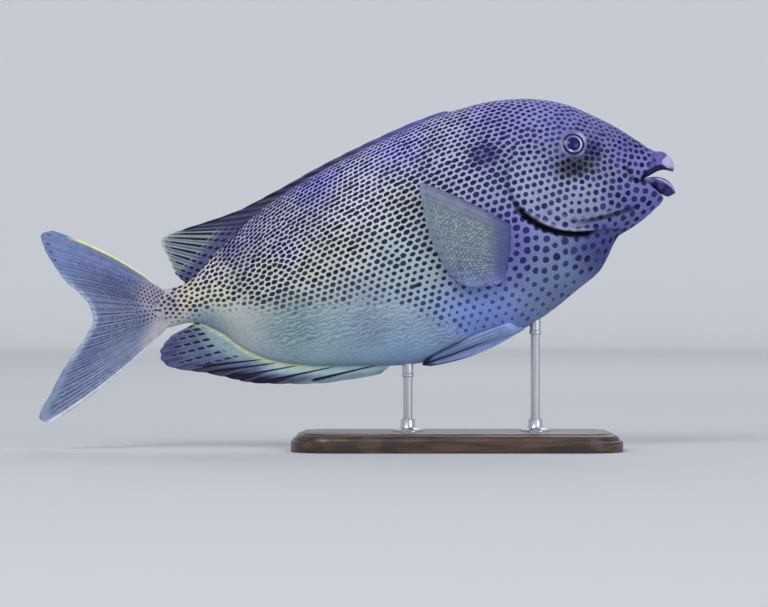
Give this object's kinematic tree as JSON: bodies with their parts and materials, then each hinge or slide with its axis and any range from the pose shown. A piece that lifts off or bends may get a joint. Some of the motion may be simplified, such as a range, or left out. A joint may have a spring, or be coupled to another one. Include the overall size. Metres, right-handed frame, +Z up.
{
  "type": "brown-spotted rabbitfish model",
  "caption": "Still life-size model of a brown-spotted rabbitfish, swimming nose-up with its fins folded, held by two rods on a flat display base.",
  "frame": {"origin": "centre of the display base's underside, on the surface that it stands on", "axes": "+X towards the fish's snout, +Y towards its left side, +Z up"},
  "size_m": [0.3411, 0.088, 0.1884],
  "materials": {
    "skin": "satin cast resin, painted with scales and dark spots",
    "eyes": "glossy, with a pale ring round a dark pupil",
    "fins": "satin, thin and ribbed with rays",
    "stand_base": "dark stained wood, satin lacquer",
    "stand_rods": "brushed"
  },
  "bodies": {
    "root": {"head": "skin", "torso": "skin", "tail_stem": "skin", "eye_right": "eyes", "eye_left": "eyes", "dorsal_fin_spines": "fins", "dorsal_fin_rays": "fins", "anal_fin_spines": "fins", "anal_fin_rays": "fins", "caudal_fin_upper": "fins", "caudal_fin_lower": "fins", "pectoral_fin_right": "fins", "pectoral_fin_left": "fins", "pelvic_fin_right": "fins", "pelvic_fin_left": "fins", "stand_base": "stand_base", "stand_rod_front": "stand_rods", "stand_rod_rear": "stand_rods"}
  },
  "joints": []
}
